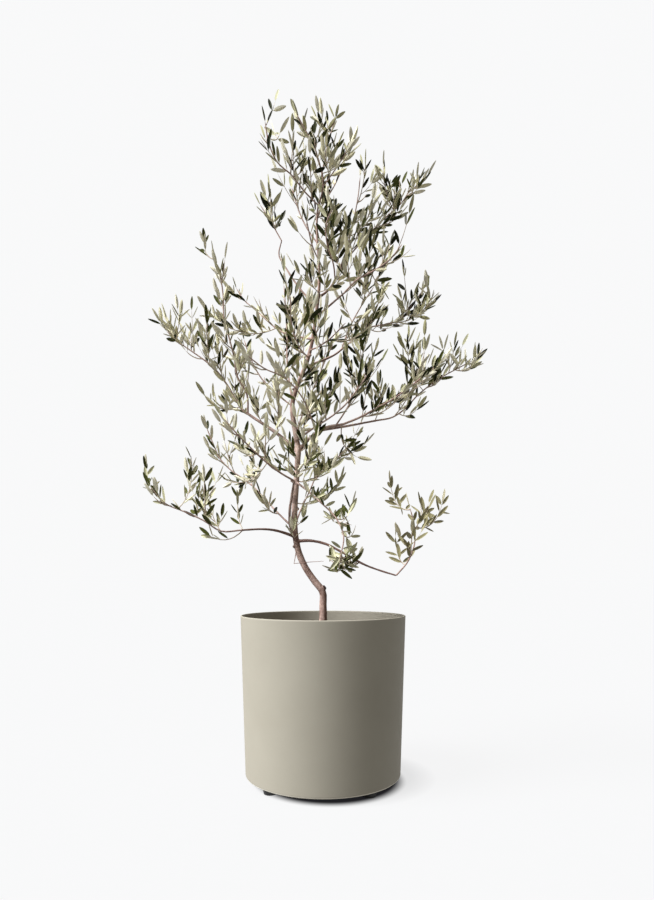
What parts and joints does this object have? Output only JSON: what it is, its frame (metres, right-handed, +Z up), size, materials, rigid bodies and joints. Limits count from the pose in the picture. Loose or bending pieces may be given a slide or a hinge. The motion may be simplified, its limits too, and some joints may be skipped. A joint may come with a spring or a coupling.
{
  "type": "potted olive tree",
  "caption": "Young olive tree with a bent slender trunk and an open, airy crown of slim leaves, standing in a plain round planter on low feet.",
  "frame": {"origin": "on the floor, under the middle of the planter", "axes": "+Z up along the tree, -Y to the front that the picture shows, +X to its right"},
  "size_m": [0.8772, 0.4998, 1.7049],
  "materials": {
    "planter": "matt grey-beige, faintly mottled",
    "feet": "matt black moulded plastic",
    "soil": "dull, crumbly potting soil",
    "bark": "grey-brown bark with fine furrows",
    "foliage": "dull green leaves with pale undersides"
  },
  "bodies": {
    "root": {"planter": "planter", "soil": "soil", "foot_1": "feet", "foot_2": "feet", "foot_3": "feet", "foot_4": "feet", "trunk": "bark", "leader": "bark", "bough_low_left": "bark", "bough_low_right": "bark", "bough_fork_left": "bark", "bough_fork_right": "bark", "bough_right_low": "bark", "bough_crossing": "bark", "bough_mid_right": "bark", "bough_upper_right": "bark", "bough_crown_right": "bark", "bough_upper_left": "bark", "bough_left_high": "bark", "bough_side_stem": "bark", "bough_long_left": "bark", "bough_droop_right": "bark", "bough_slim_right": "bark", "bough_back_left": "bark", "bough_back_right": "bark", "leaves_low_left": "foliage", "leaves_low_right": "foliage", "leaves_fork_left": "foliage", "leaves_feather": "foliage", "leaves_fork_right": "foliage", "leaves_right_mid": "foliage", "leaves_right_low": "foliage", "leaves_crossing": "foliage", "leaves_crossing_left": "foliage", "leaves_mid_right": "foliage", "leaves_mid_inner": "foliage", "leaves_upper_right": "foliage", "leaves_crown_right": "foliage", "leaves_crown_inner": "foliage", "leaves_crown_left": "foliage", "leaves_upper_left": "foliage", "leaves_top_left": "foliage", "leaves_top_mid": "foliage", "leaves_top_high": "foliage", "leaves_top_right": "foliage", "leaves_leader_left": "foliage", "leaves_leader_back": "foliage", "leaves_leader_front": "foliage", "leaves_left_high": "foliage", "leaves_inner_left": "foliage", "leaves_inner_right": "foliage", "leaves_front_mid": "foliage", "leaves_side_stem": "foliage", "leaves_long_left": "foliage", "leaves_droop_right": "foliage", "leaves_slim_right": "foliage", "leaves_back_left": "foliage", "leaves_back_right": "foliage"}
  },
  "joints": []
}
